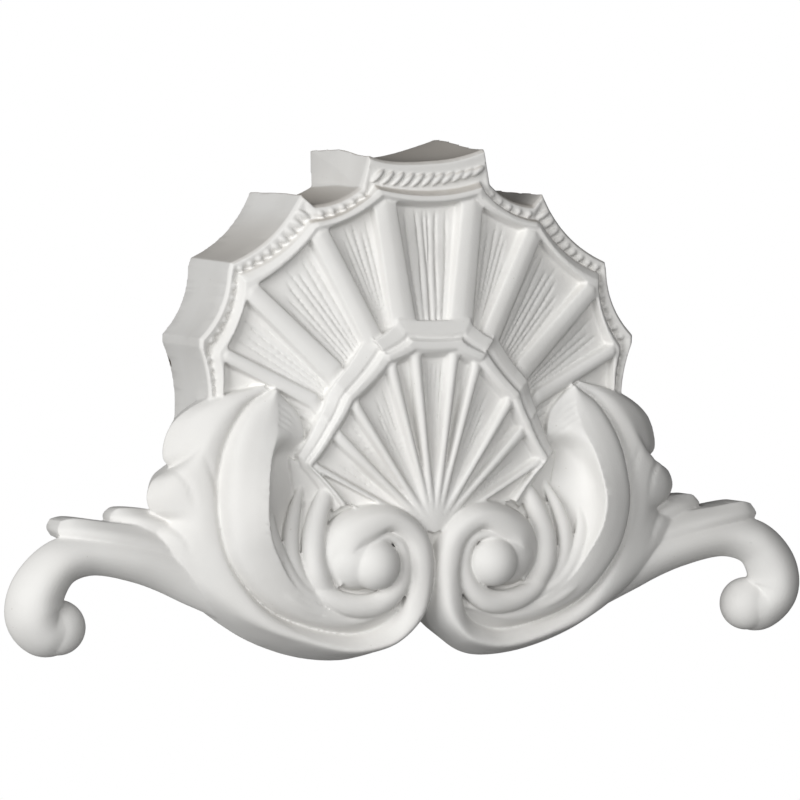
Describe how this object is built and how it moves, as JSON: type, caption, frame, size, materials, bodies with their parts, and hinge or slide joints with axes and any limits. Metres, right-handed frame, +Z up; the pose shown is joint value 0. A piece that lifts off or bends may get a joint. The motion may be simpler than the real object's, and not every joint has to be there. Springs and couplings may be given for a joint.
{
  "type": "scroll onlay",
  "caption": "Cast relief onlay: a deep scallop shell with a small shell in front, over paired volutes, acanthus leaves and hooked scroll arms, with a flat back that fixes to a wall.",
  "frame": {"origin": "on the flat back face, on the centre line, at the level where the small shell's ribs meet", "axes": "+Z up, -Y out of the wall towards the viewer, X across the ornament's width, plane x = 0 of symmetry"},
  "size_m": [0.3922, 0.0875, 0.2345],
  "materials": {
    "cast_white": "matt off-white primer on cast polyurethane foam"
  },
  "bodies": {
    "root": {"scroll_onlay": "cast_white"}
  },
  "joints": []
}
